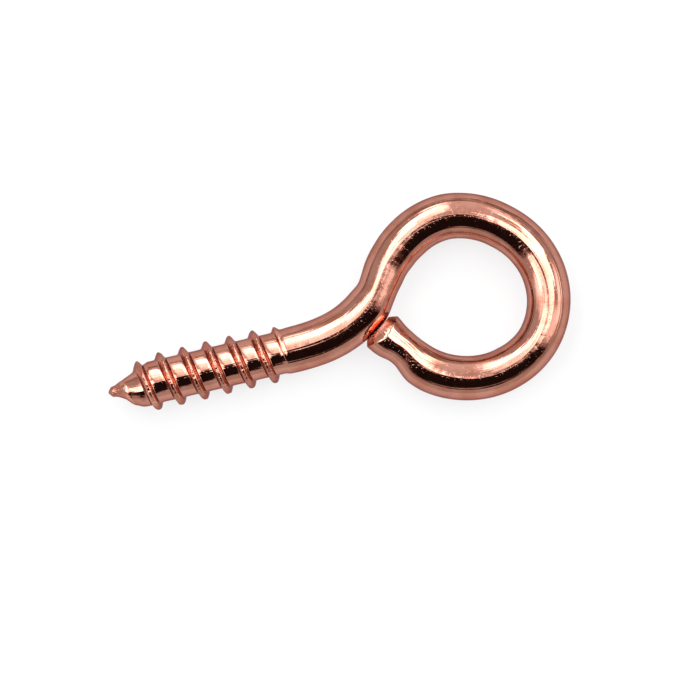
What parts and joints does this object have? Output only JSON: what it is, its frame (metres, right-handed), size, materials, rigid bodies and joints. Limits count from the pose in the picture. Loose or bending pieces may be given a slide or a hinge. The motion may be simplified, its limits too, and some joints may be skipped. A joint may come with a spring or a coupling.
{
  "type": "screw eye pin",
  "caption": "Screw eye pin: a bent wire with a closed round eye and a gimlet-pointed wood thread, in polished copper plating.",
  "frame": {"origin": "centre of the eye, in the middle of the wire", "axes": "+X along the shank, from the point of the thread towards the nose of the eye; +Z square to the eye, which lies flat in XY as the pin rests on a table; +Y completes the frame"},
  "size_m": [0.016, 0.007, 0.002],
  "materials": {
    "copper_plating": null
  },
  "bodies": {
    "root": {"screw_eye": "copper_plating"}
  },
  "joints": []
}
